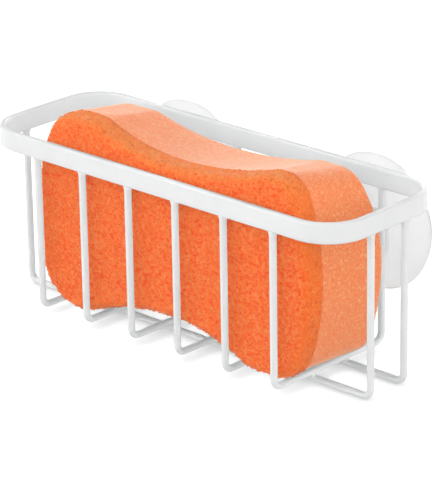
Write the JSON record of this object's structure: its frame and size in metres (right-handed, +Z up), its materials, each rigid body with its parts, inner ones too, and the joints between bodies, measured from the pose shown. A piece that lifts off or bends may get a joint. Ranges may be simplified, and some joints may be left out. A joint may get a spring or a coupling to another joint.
{
  "type": "sponge holder",
  "caption": "Coated wire sponge basket with a flat band rim and suction cups at its back, holding a layered hourglass scrub sponge that lifts out.",
  "frame": {"origin": "on the floor under the middle of the whole part's bounding box", "axes": "+X along the basket, +Y towards the wall that the suction cups hold, +Z up"},
  "size_m": [0.146, 0.0598, 0.0677],
  "materials": {
    "coated_steel": "satin",
    "clear_vinyl": "satin",
    "scrub_fibre": "matte",
    "bond_film": "matte",
    "foam": "matte"
  },
  "bodies": {
    "basket": {"rim_band": "coated_steel", "cross_wire_1": "coated_steel", "cross_wire_2": "coated_steel", "cross_wire_3": "coated_steel", "cross_wire_4": "coated_steel", "cross_wire_5": "coated_steel", "cross_wire_6": "coated_steel", "long_wire_front": "coated_steel", "long_wire_rear": "coated_steel", "cup_tab_left": "coated_steel", "cup_tab_right": "coated_steel"},
    "sponge": {"sponge_scrub_pad": "scrub_fibre", "sponge_bond_film": "bond_film", "sponge_foam": "foam"},
    "left_cup": {"suction_cup_left": "clear_vinyl"},
    "right_cup": {"suction_cup_right": "clear_vinyl"}
  },
  "joints": [
    {"name": "sponge_lift", "type": "slide", "parent": "basket", "child": "sponge", "axis": [0, 0, 1], "range_m": [0, 0.066]},
    {"name": "left_cup_turn", "type": "hinge", "parent": "basket", "child": "left_cup", "pos_m": [-0.03926, 0.02145, 0.037], "axis": [0, 1, 0], "continuous": true},
    {"name": "right_cup_turn", "type": "hinge", "parent": "basket", "child": "right_cup", "pos_m": [0.03926, 0.02145, 0.037], "axis": [0, 1, 0], "continuous": true}
  ]
}
